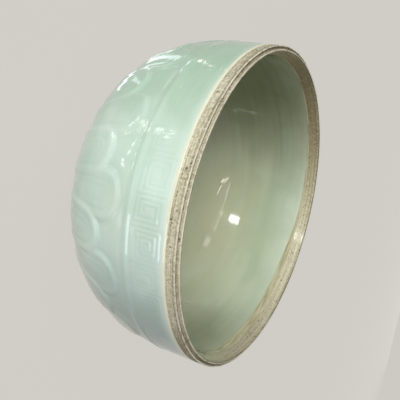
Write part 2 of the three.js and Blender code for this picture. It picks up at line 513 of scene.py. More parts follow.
@dataclass
class PetalRow:
    """A row of moulded petals with raised rims, that widen towards the foot.

    Args:
        count: petals round the wall.
        turn: angle of the middle of one petal.
        tip: distance along of the tips.
        tip_length: length of the arched tip.
        half_angle: half width below the tip, in radians.
        foot_half_angle: half width at the foot, in radians.
        body: height of a petal's face.
        rim: height of its rim above that.
        foot_along: distance along at which it is widest.
        scale: distance for each unit of the outline's own measure.
        point_start: share of the arch at which the point of the tip begins.
        point_size: how sharp that point is.
        cover: where, from the outline, it begins and ends to hide what lies behind.
        inner: where the sunken middle begins and ends.
        edge: where the face begins and ends to rise.
        dish: depth of the sunken middle, as a share of the face's height.
        dish_at: distance of its deepest line from the outline.
        dish_reach: distances from that line at which it begins to rise and is level.
        lines: the rim, the moat outside it and the two lines inside it, each with its height as a share
            of the rim's, where it lies from the outline and its half width.
        vein: height of the middle line, as a share of the rim's, and its half width.
        vein_start: where the vein begins and is full, in millimetres below the tip.
        vein_radius: radius of the wall for the vein's width.
        slant: how the petals lean to the side.
        shift: how the petals stand up or down.
    """

    count: int
    turn: float
    tip: float
    tip_length: float
    half_angle: float
    foot_half_angle: float
    body: float
    rim: float
    foot_along: float = 84.0
    scale: float = 9.0
    point_start: float = 0.78
    point_size: float = 0.9
    cover: tuple[float, float] = (-1.4, 0.6)
    inner: tuple[float, float] = (-7.5, -5.5)
    edge: tuple[float, float] = (-2.6, 0.4)
    dish: float = 0.16
    dish_at: float = -6.5
    dish_reach: tuple[float, float] = (4.0, 9.0)
    lines: tuple[tuple[float, float, float], ...] = (
        (1.0, -1.3, 1.15),
        (-0.4, 0.9, 0.9),
        (-0.34, -4.2, 0.8),
        (-0.26, -6.2, 0.7),
    )
    vein: tuple[float, float] = (0.2, 1.2)
    vein_start: tuple[float, float] = (6.0, 12.0)
    vein_radius: float = 55.0
    slant: Wander = field(default_factory=lambda: Wander((3, 5, 8), 0.006, SEED + 2))
    shift: Wander = field(default_factory=lambda: Wander((4, 7, 11), 0.35, SEED + 3))

    def distance(self, angle: np.ndarray, along: np.ndarray) -> tuple[np.ndarray, np.ndarray]:
        """Measures how far places lie from the outline of the nearest petal.

        Args:
            angle: angles round the axis.
            along: distances down the wall.

        Returns:
            The distance from the outline, below 0 inside it, and the angle from the petal's middle.
        """
        pitch = TURN / self.count
        moved = angle + self.slant.at(angle, along)
        across = np.mod(moved - self.turn + pitch / 2, pitch) - pitch / 2
        down = along + self.shift.at(angle, along)
        widening = smooth(self.tip, self.foot_along, down)
        half = self.half_angle + (self.foot_half_angle - self.half_angle) * widening
        arch = np.maximum(1 - (down - self.tip) / self.tip_length, 0)
        point = np.maximum(arch - self.point_start, 0) * self.point_size
        reach = np.hypot(across / half, arch) + point * np.abs(across) / half
        return (reach - 1) * self.scale, across

    def layers(self, angle: np.ndarray, along: np.ndarray) -> tuple[np.ndarray, np.ndarray, np.ndarray]:
        """Measures the relief of the row on its own.

        Args:
            angle: angles round the axis.
            along: distances down the wall.

        Returns:
            The height of the faces, that of the lines, and how much covers what lies behind.
        """
        gap, across = self.distance(angle, along)
        cover = 1 - smooth(*self.cover, gap)
        inside = 1 - smooth(*self.inner, gap)
        near, level = self.dish_reach
        dish = -self.dish * self.body * smooth(-level, -near, -np.abs(gap - self.dish_at))
        face = self.body * (1 - smooth(*self.edge, gap)) + inside * dish
        lines = sum(height * bump_at(gap - middle, width) for height, middle, width in self.lines)
        size, width = self.vein
        start, full = self.vein_start
        below = smooth(self.tip + start, self.tip + full, along)
        vein = size * bump_at(across * self.vein_radius, width) * below * inside
        return face, self.rim * (lines + vein), cover


@dataclass
class WallRelief:
    """Everything that stands out of the outer wall or is cut into it.

    Args:
        ring_along: distance along of the raised ring.
        ring_half_width: half its width.
        ring_rise: its height.
        under_ring: distance along of the line that is cut below it.
        line_depth: depth of that line.
        line_half_width: half its width.
        foot_start: distance along at which the relief begins to fade.
        foot_end: distance along at which it is gone.
        behind_petals: how much of the front row's faces shows beyond its cover.
        uneven_start: distances along at which the wall's unevenness begins and is full.
        fret: the fret band.
        front: the front row of petals.
        back: the row behind it.
        drift: how the ring runs up and down.
        ripple: the unevenness of the wall and of the ring's height.
    """

    ring_along: float = 18.6
    ring_half_width: float = 1.6
    ring_rise: float = 0.3
    under_ring: float = 20.8
    line_depth: float = 0.06
    line_half_width: float = 0.7
    foot_start: float = 75.0
    foot_end: float = 84.0
    behind_petals: float = 0.35
    uneven_start: tuple[float, float] = (22.0, 34.0)
    fret: FretBand = field(default_factory=FretBand)
    front: PetalRow = field(
        default_factory=lambda: PetalRow(
            count=14,
            turn=math.radians(6.4),
            tip=29.5,
            tip_length=9.0,
            half_angle=math.radians(8.4),
            foot_half_angle=math.radians(11.8),
            body=0.6,
            rim=0.2,
        )
    )
    back: PetalRow = field(
        default_factory=lambda: PetalRow(
            count=14,
            turn=math.radians(6.4 + 180 / 14),
            tip=22.6,
            tip_length=7.5,
            half_angle=math.radians(8),
            foot_half_angle=math.radians(8),
            body=0.34,
            rim=0.16,
        )
    )
    drift: Wander = field(default_factory=lambda: Wander((2, 3, 5), 0.12, SEED + 4))
    ripple: Wander = field(default_factory=lambda: Wander((9, 13, 22, 37), 0.06, SEED + 5))

    def petals(self, angle: np.ndarray, along: np.ndarray) -> tuple[np.ndarray, np.ndarray]:
        """Lays the front row of petals over the back row.

        Args:
            angle: angles round the axis.
            along: distances down the wall.

        Returns:
            The height of the petals' faces, and that of their lines.
        """
        face, lines, covered = self.front.layers(angle, along)
        back_face, back_lines, _ = self.back.layers(angle, along)
        fade = 1 - smooth(self.foot_start, self.foot_end, along)
        shown = fade * smooth(0, 1, covered + self.behind_petals)
        behind = fade * (1 - covered)
        return face * shown + back_face * behind, lines * shown + back_lines * behind

    def carved(self, angle: np.ndarray, along: np.ndarray) -> np.ndarray:
        """Height of the lines alone at angles and distances along."""
        line = -self.line_depth * bump_at(along - self.under_ring, self.line_half_width)
        return line + self.petals(angle, along)[1] + self.fret.rise(angle, along)

    def rise(self, angle: np.ndarray, along: np.ndarray) -> np.ndarray:
        """Height of the whole relief.

        Args:
            angle: angles round the axis.
            along: distances down the wall.

        Returns:
            The heights over the plain wall.
        """
        ring_gap = along + self.drift.at(angle, np.zeros_like(along)) - self.ring_along
        ring = np.clip(1 - np.abs(ring_gap) / self.ring_half_width, 0, 1)
        ring = self.ring_rise * ring * ring * (3 - 2 * ring) * (0.9 + self.ripple.at(angle, along))
        fade = 1 - smooth(self.foot_start, self.foot_end, along)
        uneven = self.ripple.at(angle, along) * smooth(*self.uneven_start, along) * fade
        return ring + self.petals(angle, along)[0] + uneven + self.carved(angle, along)


# Shader maths, with the sockets of a Mix node that blends colours

MIX_SHARE, MIX_LOW, MIX_HIGH, MIX_OUT = 0, 6, 7, 2


class Value:
    """An output socket, on which shader maths is written as expressions."""

    def __init__(self, graph: "Graph", socket: bpy.types.NodeSocket) -> None:
        """Keeps the socket and the graph that it is in."""
        self.graph = graph
        self.socket = socket

    def math(self, operation: str, *values: "Value | float", clamp: bool = False) -> "Value":
        """Result of a Math node, which is held from 0 to 1 where clamp is True."""
        settings = {"operation": operation, "use_clamp": clamp}
        return self.graph.add("ShaderNodeMath", settings, dict(enumerate(values)))

    def __add__(self, other: "Value | float") -> "Value":
        """self + other."""
        return self.math("ADD", self, other)

    def __radd__(self, other: float) -> "Value":
        """other + self."""
        return self.math("ADD", other, self)

    def __sub__(self, other: "Value | float") -> "Value":
        """self - other."""
        return self.math("SUBTRACT", self, other)

    def __rsub__(self, other: float) -> "Value":
        """other - self."""
        return self.math("SUBTRACT", other, self)

    def __mul__(self, other: "Value | float") -> "Value":
        """self * other."""
        return self.math("MULTIPLY", self, other)

    def __rmul__(self, other: float) -> "Value":
        """other * self."""
        return self.math("MULTIPLY", other, self)

    def __truediv__(self, other: "Value | float") -> "Value":
        """self / other."""
        return self.math("DIVIDE", self, other)

    def __rtruediv__(self, other: float) -> "Value":
        """other / self."""
        return self.math("DIVIDE", other, self)

    def clamped(self) -> "Value":
        """The value held from 0 to 1."""
        return self.math("ADD", self, 0.0, clamp=True)

    def step(self, low: float, high: float) -> "Value":
        """Smooth step from 0 where the value is low to 1 where it is high."""
        settings = {"interpolation_type": "SMOOTHSTEP", "clamp": True}
        return self.graph.add("ShaderNodeMapRange", settings, {0: self, 1: low, 2: high, 3: 0.0, 4: 1.0})

    def bell(self, middle: float, width: float) -> "Value":
        """1 where the value is middle, falling to 0 at width on both sides."""
        away = self.math("ABSOLUTE", self - middle)
        return 1 - away.step(0.0, width)


class Graph:
    """The node tree of one material, or of the world."""

    def __init__(self, owner: bpy.types.Material | bpy.types.World) -> None:
        """Empties the node tree of its owner.

        Args:
            owner: the material or the world.
        """
        self.owner = owner
        owner.use_nodes = True
        self.tree = owner.node_tree
        self.tree.nodes.clear()

    @classmethod
    def named(cls, name: str) -> "Graph":
        """Makes the graph of a new material."""
        return cls(bpy.data.materials.new(name))

    def add(
        self,
        kind: str,
        settings: dict[str, object] | None = None,
        inputs: dict[str | int, object] | None = None,
        output: str | int = 0,
    ) -> Value:
        """Adds a node.

        Args:
            kind: the node's type.
            settings: its own settings, among them "stops" for a colour ramp.
            inputs: values or links of its sockets, by name or number.
            output: the socket that is returned.

        Returns:
            The output socket.
        """
        node = self.tree.nodes.new(kind)
        for key, value in (settings or {}).items():
            if key == "stops":
                self.set_stops(node, value)
            else:
                setattr(node, key, value)
        for key, value in (inputs or {}).items():
            if isinstance(value, Value):
                self.tree.links.new(value.socket, node.inputs[key])
            elif isinstance(value, tuple) and node.inputs[key].type == "RGBA":
                node.inputs[key].default_value = (*value, 1.0)
            else:
                node.inputs[key].default_value = value
        return Value(self, node.outputs[output]) if node.outputs else Value(self, None)

    @staticmethod
    def set_stops(node: bpy.types.Node, stops: list[tuple[float, Colour]]) -> None:
        """Sets the stops of a colour ramp.

        Args:
            node: the ramp, which has two stops when it is new.
            stops: position and colour of each stop.
        """
        elements = node.color_ramp.elements
        for place, _ in stops[len(elements):]:
            elements.new(place)
        for element, (place, colour) in zip(elements, stops):
            element.position = place
            element.color = (*colour, 1.0)

    def mix(self, share: Value | float, low: Value | Colour, high: Value | Colour) -> Value:
        """Blends two colours: low where share is 0, high where it is 1."""
        settings = {"data_type": "RGBA", "clamp_factor": True}
        return self.add("ShaderNodeMix", settings, {MIX_SHARE: share, MIX_LOW: low, MIX_HIGH: high}, MIX_OUT)

    def blend(self, share: Value, low: Value, high: Value) -> Value:
        """Blends two shaders: low where share is 0, high where it is 1."""
        return self.add("ShaderNodeMixShader", inputs={0: share, 1: low, 2: high})

    def tinted(self, share: Value | float, colour: Value, by: Colour) -> Value:
        """Multiplies a colour by another, where share is 1."""
        settings = {"data_type": "RGBA", "blend_type": "MULTIPLY", "clamp_factor": True}
        return self.add("ShaderNodeMix", settings, {MIX_SHARE: share, MIX_LOW: colour, MIX_HIGH: by}, MIX_OUT)

    def place(self) -> Value:
        """Where the surface is, in metres."""
        return self.add("ShaderNodeTexCoord", output="Object")

    def along(self, place: Value, axis: tuple[float, float, float]) -> Value:
        """How far a place lies along an axis, in millimetres."""
        settings = {"operation": "DOT_PRODUCT"}
        return self.add("ShaderNodeVectorMath", settings, {0: place, 1: axis}, "Value") * TO_MM

    def scaled(self, place: Value, scale: tuple[float, float, float]) -> Value:
        """A place stretched by a factor on each axis."""
        return self.add("ShaderNodeVectorMath", {"operation": "MULTIPLY"}, {0: place, 1: scale})

    def noise(self, place: Value, scale: float, detail: float = 2.0, rough: float = 0.5) -> Value:
        """Soft noise from 0 to 1, with scale features to the metre."""
        inputs = {"Vector": place, "Scale": scale, "Detail": detail, "Roughness": rough}
        return self.add("ShaderNodeTexNoise", inputs=inputs)

    def ringed(self, place: Value, across: Value, round_scale: float) -> Value:
        """A place at which noise makes rings.

        Args:
            place: where the surface is.
            across: what changes fast, across the rings.
            round_scale: how fast the rings change round the axis.

        Returns:
            The place.
        """
        slow = self.scaled(place, (round_scale, round_scale, 0.0))
        axis = self.add("ShaderNodeCombineXYZ", inputs={"Z": across})
        return self.add("ShaderNodeVectorMath", {"operation": "ADD"}, {0: slow, 1: axis})

    def cells(self, place: Value, scale: float) -> Value:
        """Distance to the nearest of many scattered points, in cells."""
        return self.add("ShaderNodeTexVoronoi", inputs={"Vector": place, "Scale": scale})

    def radius_and_height(self, place: Value) -> tuple[Value, Value]:
        """Takes a place apart.

        Args:
            place: where the surface is.

        Returns:
            Its distance from the axis and its height, both in millimetres.
        """
        split = self.add("ShaderNodeSeparateXYZ", inputs={0: place})
        node = split.socket.node
        x, y, z = (Value(self, node.outputs[i]) for i in range(3))
        square = x * x + y * y
        return square.math("SQRT", square) * TO_MM, z * TO_MM

    def bump(self, height: Value, size: float) -> Value:
        """A normal that shows a height from 0 to 1, which is size metres in all."""
        return self.add("ShaderNodeBump", inputs={"Distance": size, "Height": height})

    def finish(self, constants: dict[str, float], links: dict[str, Value]) -> bpy.types.Material:
        """Ends the tree in a Principled shader.

        Args:
            constants: settings that are the same all over, each set on its own socket.
            links: what changes over the surface.

        Returns:
            The material.
        """
        shader = self.add("ShaderNodeBsdfPrincipled", inputs={**constants, **links})
        self.add("ShaderNodeOutputMaterial", inputs={"Surface": shader})
        return self.owner

    def seen(self) -> Value:
        """Tells who looks at the surface.

        Returns:
            1 for the camera, a reflection or a clear body, and 0 for other light.
        """
        camera, glossy, through = (
            self.add("ShaderNodeLightPath", output=f"Is {kind} Ray")
            for kind in ("Camera", "Glossy", "Transmission")
        )
        return (camera + glossy + through).clamped()


def paint(red: int, green: int, blue: int) -> Colour:
    """A colour as it is seen on a screen, from 0 to 255, made linear."""
    shares = [c / 255 for c in (red, green, blue)]
    return tuple(s / 12.92 if s <= 0.04045 else ((s + 0.055) / 1.055) ** 2.4 for s in shares)


# Finishes


@dataclass(frozen=True)
class Layer:
    """How a pattern becomes a share of a colour.

    Args:
        low: value of the pattern at which the colour begins to show.
        high: value at which it shows most.
        share: how much it shows there.
    """

    low: float
    high: float
    share: float

    def of(self, pattern: Value) -> Value:
        """The share at each value of a pattern."""
        return pattern.step(self.low, self.high) * self.share


@dataclass(frozen=True)
class Celadon:
    """Glossy green glaze that pools darker in hollows and thins out pale on raised edges.

    Args:
        name: name of the finish.
        tones: its colours along an axis, each with its share of the way; on the outer glaze they are painted
            shade, and on the inner glaze partly a painted sheen.
        axis: that axis.
        reach: where the first and last tone lie along it, in millimetres.
        pooled: colour where it lies deep.
        thin: colour on raised lines.
        warm: colour of the patches that came out warmer in the kiln.
        shade_tint: tint of the painted shade, on one side and on the far side.
        shade_side: where the painted shade of that side starts and is full, in millimetres from the axis.
        shade_share: how much that shows.
        far_shade_share: how much painted shade darkens the opposite side.
        far_shade_side: where the painted shade of that side starts and is full.
        edge: colour of its wiped upper edge.
        edge_line: colour of the rings that are rubbed into the edge.
        edge_height: height of that edge, or 0 for none.
        edge_width: width of the wiped line.
        edge_uneven: how much lower the line runs on the side where it was wiped twice.
        edge_side: where it was wiped twice, in millimetres from the axis.
        edge_glow: how much the glaze thins out below the line.
        edge_dull: how much less it does on the side with painted shade.
        edge_rubbed: how much the line is rubbed into rings.
        cloud_scale: features to the metre of the clouds.
        cloud_drift: how far the clouds shift the tones, in millimetres.
        band_scale: features to the metre of the broad bands, on each axis.
        streak_scale: those of the fine streaks.
        warm_scale: features to the metre of the warm patches.
        fine_scale: those of the finest speckle.
        pit_scale: those of the pits.
        ripple_scale: those of the ripple on the surface.
        pools: where clouds and bands make it thick.
        thins: where they make it thin.
        warms: where the patches are warm.
        streaks: how the fine streaks show.
        in_lines: how it pools in the carved lines.
        on_lines: how it thins out on the raised ones.
        speckle: how the finest speckle shows.
        relief: height of the ripple and the pits, in metres.
        rough: roughness.
    """

    name: str
    tones: tuple[tuple[float, Colour], ...]
    axis: tuple[float, float, float]
    reach: tuple[float, float]
    pooled: Colour
    thin: Colour
    warm: Colour
    shade_tint: Colour
    edge: Colour
    edge_line: Colour
    shade_side: tuple[float, float] = (14.0, 62.0)
    shade_share: float = 0.0
    far_shade_share: float = 0.0
    far_shade_side: tuple[float, float] = (36.0, 72.0)
    edge_height: float = 0.0
    edge_width: float = 1.3
    edge_uneven: float = 0.0
    edge_side: tuple[float, float] = (12.0, 56.0)
    edge_glow: float = 0.0
    edge_dull: float = 0.75
    edge_rubbed: float = 0.3
    cloud_scale: float = 36.0
    cloud_drift: float = 40.0
    band_scale: tuple[float, float, float] = (12.0, 12.0, 110.0)
    streak_scale: tuple[float, float, float] = (18.0, 18.0, 700.0)
    warm_scale: float = 17.0
    fine_scale: float = 420.0
    pit_scale: float = 330.0
    ripple_scale: float = 130.0
    pools: Layer = Layer(0.5, 0.66, 0.5)
    thins: Layer = Layer(0.5, 0.36, 0.35)
    warms: Layer = Layer(0.52, 0.72, 0.45)
    streaks: Layer = Layer(0.45, 0.75, 0.12)
    in_lines: Layer = Layer(0.01, 0.12, 0.36)
    on_lines: Layer = Layer(0.06, 0.22, 0.16)
    speckle: Layer = Layer(0.56, 0.8, 0.16)
    relief: float = 0.00006
    rough: float = 0.06

    def flowed(self, g: Graph, place: Value, clouds: Value, side: Value) -> Value:
        """Colour of the glaze as it ran, with its painted shade, without its streaks, lines and edge.

        Args:
            g: the graph.
            place: where the surface is.
            clouds: soft noise.
            side: 1 on the side with painted shade.

        Returns:
            The colour.
        """
        start, end = self.reach
        drift = g.along(place, self.axis) + self.cloud_drift * (clouds - 0.5)
        share = ((drift - start) / (end - start)).clamped()
        colour = g.add("ShaderNodeValToRGB", {"stops": list(self.tones)}, {0: share})
        bands = g.noise(g.scaled(place, self.band_scale), 1.0)
        mottle = 0.55 * clouds + 0.45 * bands
        colour = g.mix(self.pools.of(mottle), colour, self.pooled)
        colour = g.mix(self.thins.of(mottle), colour, self.thin)
        colour = g.mix(self.warms.of(g.noise(place, self.warm_scale)), colour, self.warm)
        # Painted shade on one side
        colour = g.tinted(side * self.shade_share, colour, self.shade_tint)
        # Painted shade on the far side, towards +X
        far = g.along(place, (1.0, 0.0, 0.2)).step(*self.far_shade_side)
        return g.tinted(far * self.far_shade_share, colour, self.shade_tint)

    def edged(self, g: Graph, place: Value, clouds: Value, side: Value, colour: Value) -> Value:
        """Colour with the glaze thinned out and wiped along its upper edge.

        Args:
            g: the graph.
            place: where the surface is.
            clouds: soft noise.
            side: 1 on the side with painted shade.
            colour: the colour without the edge.

        Returns:
            The colour.
        """
        _, height = g.radius_and_height(place)
        top, level = self.edge_height, height
        if self.edge_uneven:
            level = height + self.edge_uneven * g.along(place, (0.9, 0.43, 0.0)).step(*self.edge_side)
        glow = level.step(top - 4.5, top - 0.5) * self.edge_glow
        glow = glow * (1 - self.edge_dull * side)
        colour = g.mix(glow * (0.5 + clouds), colour, self.thin)
        rubbed = g.noise(g.ringed(place, height, 40.0), 2.2, 2.0, 0.6)
        wiped = g.mix(rubbed.step(0.48, 0.56) * self.edge_rubbed, self.edge, self.edge_line)
        close = level.step(top - self.edge_width, top - 0.25)
        return g.mix(close * (0.8 + 0.2 * clouds), colour, wiped)

    def make(self) -> bpy.types.Material:
        """Makes the material.

        Returns:
            The material.
        """
        g = Graph.named(self.name)
        place = g.place()
        carved = g.add("ShaderNodeAttribute", {"attribute_name": "carved"}, output="Fac")
        clouds = g.noise(place, self.cloud_scale, 3.0)
        streaks = g.noise(g.scaled(place, self.streak_scale), 1.0, 3.0, 0.6)
        fine = g.noise(place, self.fine_scale, 4.0, 0.62)
        # Share of the painted shade, full on the -X side
        side = g.along(place, (-1.0, 0.0, 0.2)).step(*self.shade_side)

        colour = self.flowed(g, place, clouds, side)
        colour = g.mix(self.streaks.of(streaks), colour, self.thin)
        colour = g.mix(self.in_lines.of(0.0 - carved), colour, self.pooled)
        colour = g.mix(self.on_lines.of(carved), colour, self.thin)
        colour = g.mix(self.speckle.of(fine), colour, self.pooled)
        if self.edge_height:
            colour = self.edged(g, place, clouds, side, colour)
        pits = 1 - g.cells(place, self.pit_scale).step(0.0, 0.09)
        spots = pits * g.noise(place, 60.0, 1.0).step(0.55, 0.62)
        ripple = g.noise(place, self.ripple_scale) * 0.7 + streaks * 0.3
        surface = g.bump(ripple - 0.5 * spots, self.relief)
        rough = self.rough + 0.06 * fine + 0.2 * spots
        constants = {"IOR": 1.5, "Coat Weight": 0.25, "Coat Roughness": 0.04}
        return g.finish(constants, {"Base Color": colour, "Roughness": rough, "Normal": surface})


@dataclass(frozen=True)
class Biscuit:
    """Bare clay from the kiln, turned while it was soft, with pits, specks and rubbed brown lines.

    Args:
        name: name of the finish.
        body: its usual colour.
        pale: colour of its edges, partly worn and partly painted glints.
        brown: colour of the grooves.
        olive: colour of the inner bevel, which a wash of glaze has stained.
        washed_and_lit: colour of the bevel towards +X, where the wash lies thicker, made paler with painted
            light.
        speck: colour of the specks.
        end_shade_tint: tint of the painted shade towards -X and +X.
        land_height: height of the raised land.
        lip_height: height of the lip beside it.
        ridge_radius: radius of the fine ridge outside the groove.
        groove_radius: radius of the middle of the lip's groove.
        land_radius: radius of the middle of the land.
        land_inner: radius of the land's inner edge.
        bevel_edge: radius at which the bevel begins and is full.
        face_edge: the same for the outer face.
        grain_scale: features to the metre of the grain.
        patch_scale: those of the pale patches.
        stain_scale: those of the stains.
        wear_and_glint_scale: those of the wear and the painted glints on the edges.
        dot_scale: those of the dots that lie in rows.
        pit_scale: those of the pits.
        patches: how the pale patches show.
        ring_lines: how the turned rings show.
        fine_lines: how the fine rings show.
        bevel_lines: how the rings show on the bevel.
        dark_grain: how the dark grain shows.
        pale_grain: how the pale grain shows.
        relief: height of the rings, grain and pits, in metres.
    """

    name: str
    body: Colour
    pale: Colour
    brown: Colour
    olive: Colour
    washed_and_lit: Colour
    speck: Colour
    end_shade_tint: Colour
    land_height: float = 72.8
    lip_height: float = 72.0
    ridge_radius: float = 62.2
    groove_radius: float = 61.5
    land_radius: float = 60.9
    land_inner: float = 60.42
    bevel_edge: tuple[float, float] = (60.5, 60.2)
    face_edge: tuple[float, float] = (62.2, 62.4)
    grain_scale: float = 1250.0
    patch_scale: float = 60.0
    stain_scale: float = 26.0
    wear_and_glint_scale: float = 520.0
    dot_scale: float = 1300.0
    pit_scale: float = 620.0
    patches: Layer = Layer(0.4, 0.75, 0.5)
    ring_lines: Layer = Layer(0.5, 0.62, 0.4)
    fine_lines: Layer = Layer(0.5, 0.38, 0.35)
    bevel_lines: Layer = Layer(0.48, 0.6, 0.3)
    dark_grain: Layer = Layer(0.5, 0.64, 0.4)
    pale_grain: Layer = Layer(0.48, 0.36, 0.45)
    relief: float = 0.00015

    def make(self) -> bpy.types.Material:
        """Makes the material.

        Returns:
            The material.
        """
        g = Graph.named(self.name)
        place = g.place()
        radius, height = g.radius_and_height(place)
        turned = g.ringed(place, radius + height, 16.0)
        rings = g.noise(g.scaled(turned, (1.0, 1.0, 1.5)), 1.0, 2.0, 0.6)
        fine = g.noise(g.scaled(turned, (2.0, 2.0, 3.4)), 1.0, 2.0, 0.6)
        grain = g.noise(place, self.grain_scale, 3.0, 0.7)
        patches = g.noise(place, self.patch_scale, 3.0)
        stain = g.noise(place, self.stain_scale)
        top = self.lip_height

        # The turned clay
        colour = g.mix(self.patches.of(patches), self.body, self.pale)
        colour = g.mix(self.ring_lines.of(rings), colour, self.brown)
        colour = g.mix(self.fine_lines.of(fine), colour, self.pale)

        # The washed bevel, paler towards +X, partly from the wash and partly with painted light
        bevel = radius.step(*self.bevel_edge) * height.step(top - 6.0, top - 4.0)
        wash = g.along(place, (1.0, 0.25, 0.0)) + 30.0 * (stain - 0.5)
        stained = g.mix(wash.step(-25.0, 35.0), self.olive, self.washed_and_lit)
        stained = g.mix(self.bevel_lines.of(rings), stained, self.brown)
        colour = g.mix(bevel * 0.92, colour, stained)

        # Darker brown in the groove and under the ridge
        groove = radius.bell(self.groove_radius, 0.62) * height.step(top - 1.2, top - 0.2)
        under = height.bell(top - 0.75, 0.4) * radius.step(*self.face_edge)
        colour = g.mix((groove + under * 0.7).clamped() * (0.6 + 0.4 * stain), colour, self.brown)

        # Specks and pits
        dots = 1 - g.cells(place, self.dot_scale).step(0.16, 0.4)
        pits = 1 - g.cells(place, self.pit_scale).step(0.12, 0.3)
        rows = dots * fine.step(0.46, 0.56) * 0.75
        specks = (rows + pits * g.noise(place, 150.0, 1.0).step(0.5, 0.58)).clamped()
        colour = g.mix(specks * 0.8, colour, self.speck)

        # Painted shade towards -X and +X, and the grain
        ends = g.along(place, (1.0, 0.0, 0.0)) + 16.0 * (stain - 0.5)
        shaded_ends = ends.step(14.0, 62.0) * (1 - bevel) + ends.step(34.0, 60.0) * bevel
        colour = g.tinted(shaded_ends + ends.step(-8.0, -52.0) * 0.65, colour, self.end_shade_tint)
        strength = 1 - 0.55 * bevel
        colour = g.mix(self.dark_grain.of(grain) * strength, colour, self.brown)
        colour = g.mix(self.pale_grain.of(grain) * strength, colour, self.pale)

        # Pale edges, partly worn and partly painted glints
        worn = g.noise(place, self.wear_and_glint_scale).step(0.34, 0.46)
        ridge = radius.bell(self.ridge_radius, 0.45) * height.step(top - 0.4, top - 0.1)
        raised = height.step(self.land_height - 0.5, self.land_height - 0.1)
        land = radius.bell(self.land_radius, 0.4) * raised
        edges = (ridge * 1.3 + land) * worn * (0.6 + 0.4 * patches)
        colour = g.mix(edges.clamped(), colour, self.pale)
        inner_edge = radius.bell(self.land_inner, 0.26) * raised * stain.step(0.36, 0.5)
        colour = g.mix(inner_edge * 0.85, colour, self.speck)

        # The surface
        surface = g.bump(rings * 0.5 + grain * 0.3 - specks * 0.5, self.relief)
        wet = bevel * wash.step(-45.0, -5.0)
        rough = 0.62 + 0.25 * grain - 0.4 * wet
        constants = {"IOR": 1.5, "Coat Roughness": 0.06}
        links = {"Base Color": colour, "Roughness": rough, "Coat Weight": wet, "Normal": surface}
        return g.finish(constants, links)


OUTER_CELADON = Celadon(
    "outer_celadon",
    # Painted shade: the tones along X are darkest towards -X and +X and lightest between
    tones=(
        (0.0, paint(137, 168, 144)),
        (0.2, paint(154, 182, 158)),
        (0.42, paint(188, 210, 193)),
        (0.68, paint(190, 210, 200)),
        (0.84, paint(174, 194, 186)),
        (1.0, paint(158, 178, 170)),
    ),
    axis=(1.0, 0.0, 0.0),
    reach=(-64.0, 62.0),
    pooled=paint(160, 190, 170),
    thin=paint(218, 232, 223),
    warm=paint(204, 213, 188),
    shade_tint=(0.62, 0.6, 0.62),
    edge=paint(226, 224, 200),
    edge_line=paint(206, 200, 168),
    # Painted shade: greyer towards +X
    far_shade_share=0.45,
    edge_height=68.5,
    edge_width=1.9,
    edge_glow=0.55,
    streaks=Layer(0.45, 0.75, 0.07),
    band_scale=(34.0, 34.0, 62.0),
)
INNER_CELADON = Celadon(
    "inner_celadon",
    # Partly painted light: the tones along Z are darkest some way below the lip and paler at the lip, partly
    # where the glaze thins and partly a painted sheen
    tones=(
        (0.0, paint(204, 208, 177)),
        (0.4, paint(199, 206, 176)),
        (0.75, paint(182, 196, 170)),
        (0.9, paint(198, 211, 188)),
        (1.0, paint(214, 224, 204)),
    ),
    axis=(0.0, 0.0, 1.0),
    reach=(10.0, 68.0),
    pooled=paint(178, 192, 160),
    thin=paint(212, 221, 198),
    warm=paint(206, 204, 166),
    shade_tint=(0.48, 0.45, 0.38),
    edge=paint(204, 198, 164),
    edge_line=paint(166, 156, 120),
    # Painted shade: darker on the -X side, and on the +X side
    shade_share=0.75,
    far_shade_share=0.7,
    far_shade_side=(54.0, 72.0),
    edge_height=68.2,
    edge_uneven=2.6,
    edge_rubbed=1.0,
)
FOOT_CELADON = Celadon(
    "foot_celadon",
    tones=((0.0, paint(186, 211, 193)), (1.0, paint(192, 215, 202))),
    axis=(0.0, 1.0, 0.0),
    reach=(-22.0, 22.0),
    pooled=paint(170, 198, 182),
    thin=paint(206, 222, 208),
    warm=paint(200, 212, 190),
    shade_tint=(0.8, 0.8, 0.8),
    edge=paint(220, 214, 190),
    edge_line=paint(200, 192, 164),
)
BISCUIT = Biscuit(
    "biscuit",
    body=paint(184, 178, 151),
    pale=paint(236, 232, 210),
    brown=paint(118, 105, 78),
    olive=paint(172, 160, 122),
    washed_and_lit=paint(212, 208, 178),
    speck=paint(58, 47, 32),
    # Painted shade towards -X and +X
    end_shade_tint=(0.6, 0.56, 0.52),
)


# The vessel


